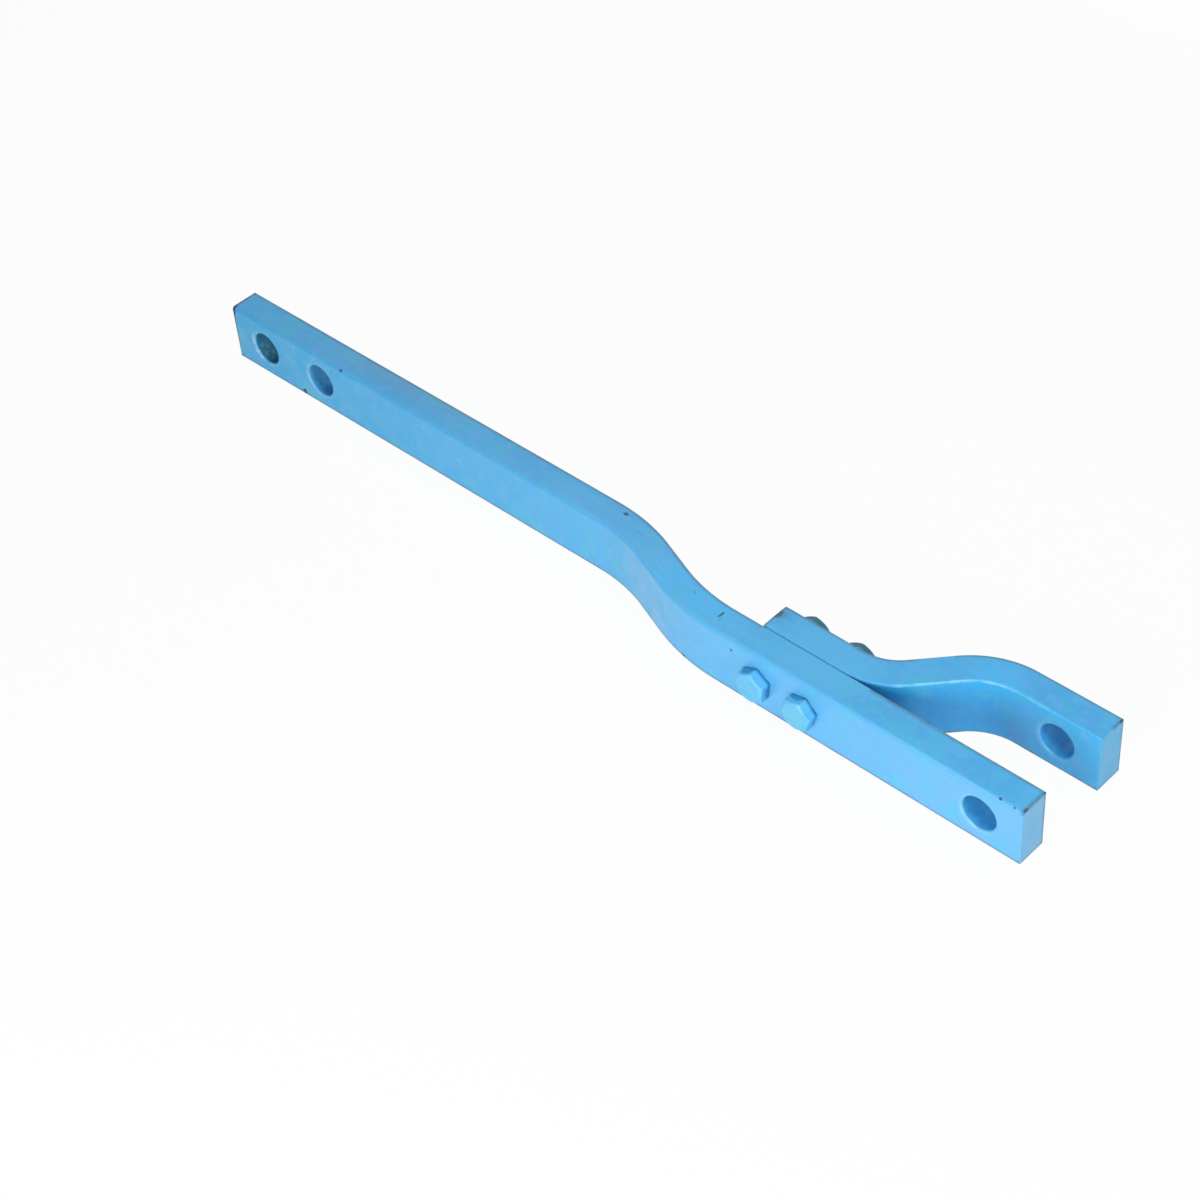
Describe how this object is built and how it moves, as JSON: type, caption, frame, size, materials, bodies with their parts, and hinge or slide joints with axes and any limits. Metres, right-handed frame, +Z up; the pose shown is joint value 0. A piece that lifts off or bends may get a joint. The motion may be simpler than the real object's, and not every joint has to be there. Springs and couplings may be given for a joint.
{
  "type": "tractor drawbar",
  "caption": "Flat steel tractor drawbar with an offset S-bend, pivot pin holes at one end and a bolted clevis strap at the hitch end.",
  "frame": {"origin": "on the hitch pin's axis, in the middle of the clevis opening and of the bar's width", "axes": "+X runs along the bar towards the hitch end, +Y along the hitch pin towards the clevis strap, +Z up across the bar's width, as it lies on its narrow edge"},
  "size_m": [0.8227, 0.1211, 0.0508],
  "materials": {
    "sky_blue_enamel": "glossy sky-blue enamel over hot-rolled steel, brushed on thickly, with small chips down to rusty steel"
  },
  "bodies": {
    "root": {"drawbar_bar": "sky_blue_enamel", "clevis_strap": "sky_blue_enamel", "rear_bolt": "sky_blue_enamel", "front_bolt": "sky_blue_enamel", "rear_lock_washer": "sky_blue_enamel", "front_lock_washer": "sky_blue_enamel", "rear_nut": "sky_blue_enamel", "front_nut": "sky_blue_enamel"}
  },
  "joints": []
}
